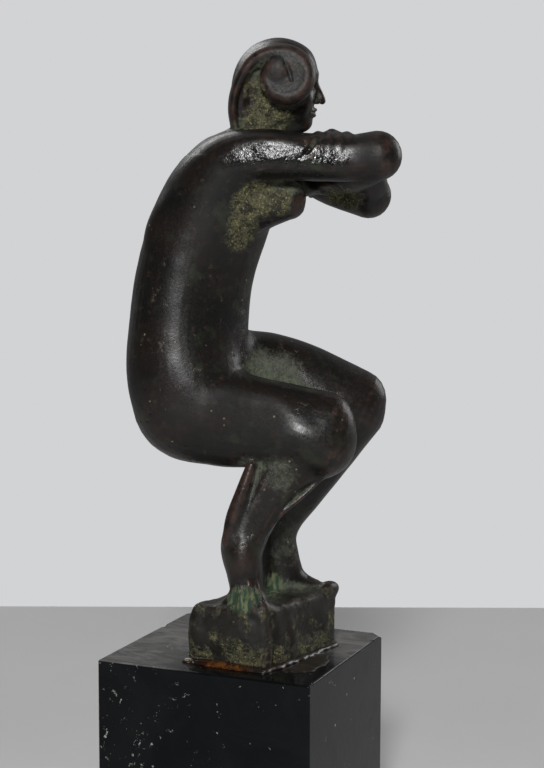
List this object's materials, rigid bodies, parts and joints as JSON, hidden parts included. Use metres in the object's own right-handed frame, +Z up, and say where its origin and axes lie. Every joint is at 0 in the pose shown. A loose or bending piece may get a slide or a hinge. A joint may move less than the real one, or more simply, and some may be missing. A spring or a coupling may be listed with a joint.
{
  "type": "bronze statuette",
  "caption": "Small cast bronze of a crouching nude with folded arms held forward, bedded in resin on a dark marble block with a felt underside.",
  "frame": {"origin": "centre of the felt pad's underside", "axes": "+Z up; +X along the block's front edge, towards the side the figure faces; +Y to the back of the block"},
  "size_m": [0.0617, 0.046, 0.1816],
  "materials": {
    "patinated_bronze": "dark brown patina, polished high spots, olive and green verdigris in the hollows",
    "black_marble": "polished, with small pale flecks",
    "amber_resin": "glossy hardened resin",
    "dark_resin": "glossy old resin with dust",
    "zinc_steel": "zinc plated",
    "green_felt": "felt"
  },
  "bodies": {
    "root": {"figure_casting": "patinated_bronze", "marble_block": "black_marble", "adhesive_bed": "amber_resin", "adhesive_smear": "dark_resin", "threaded_stud": "zinc_steel", "washer": "zinc_steel", "hex_nut": "zinc_steel", "felt_pad": "green_felt"}
  },
  "joints": []
}
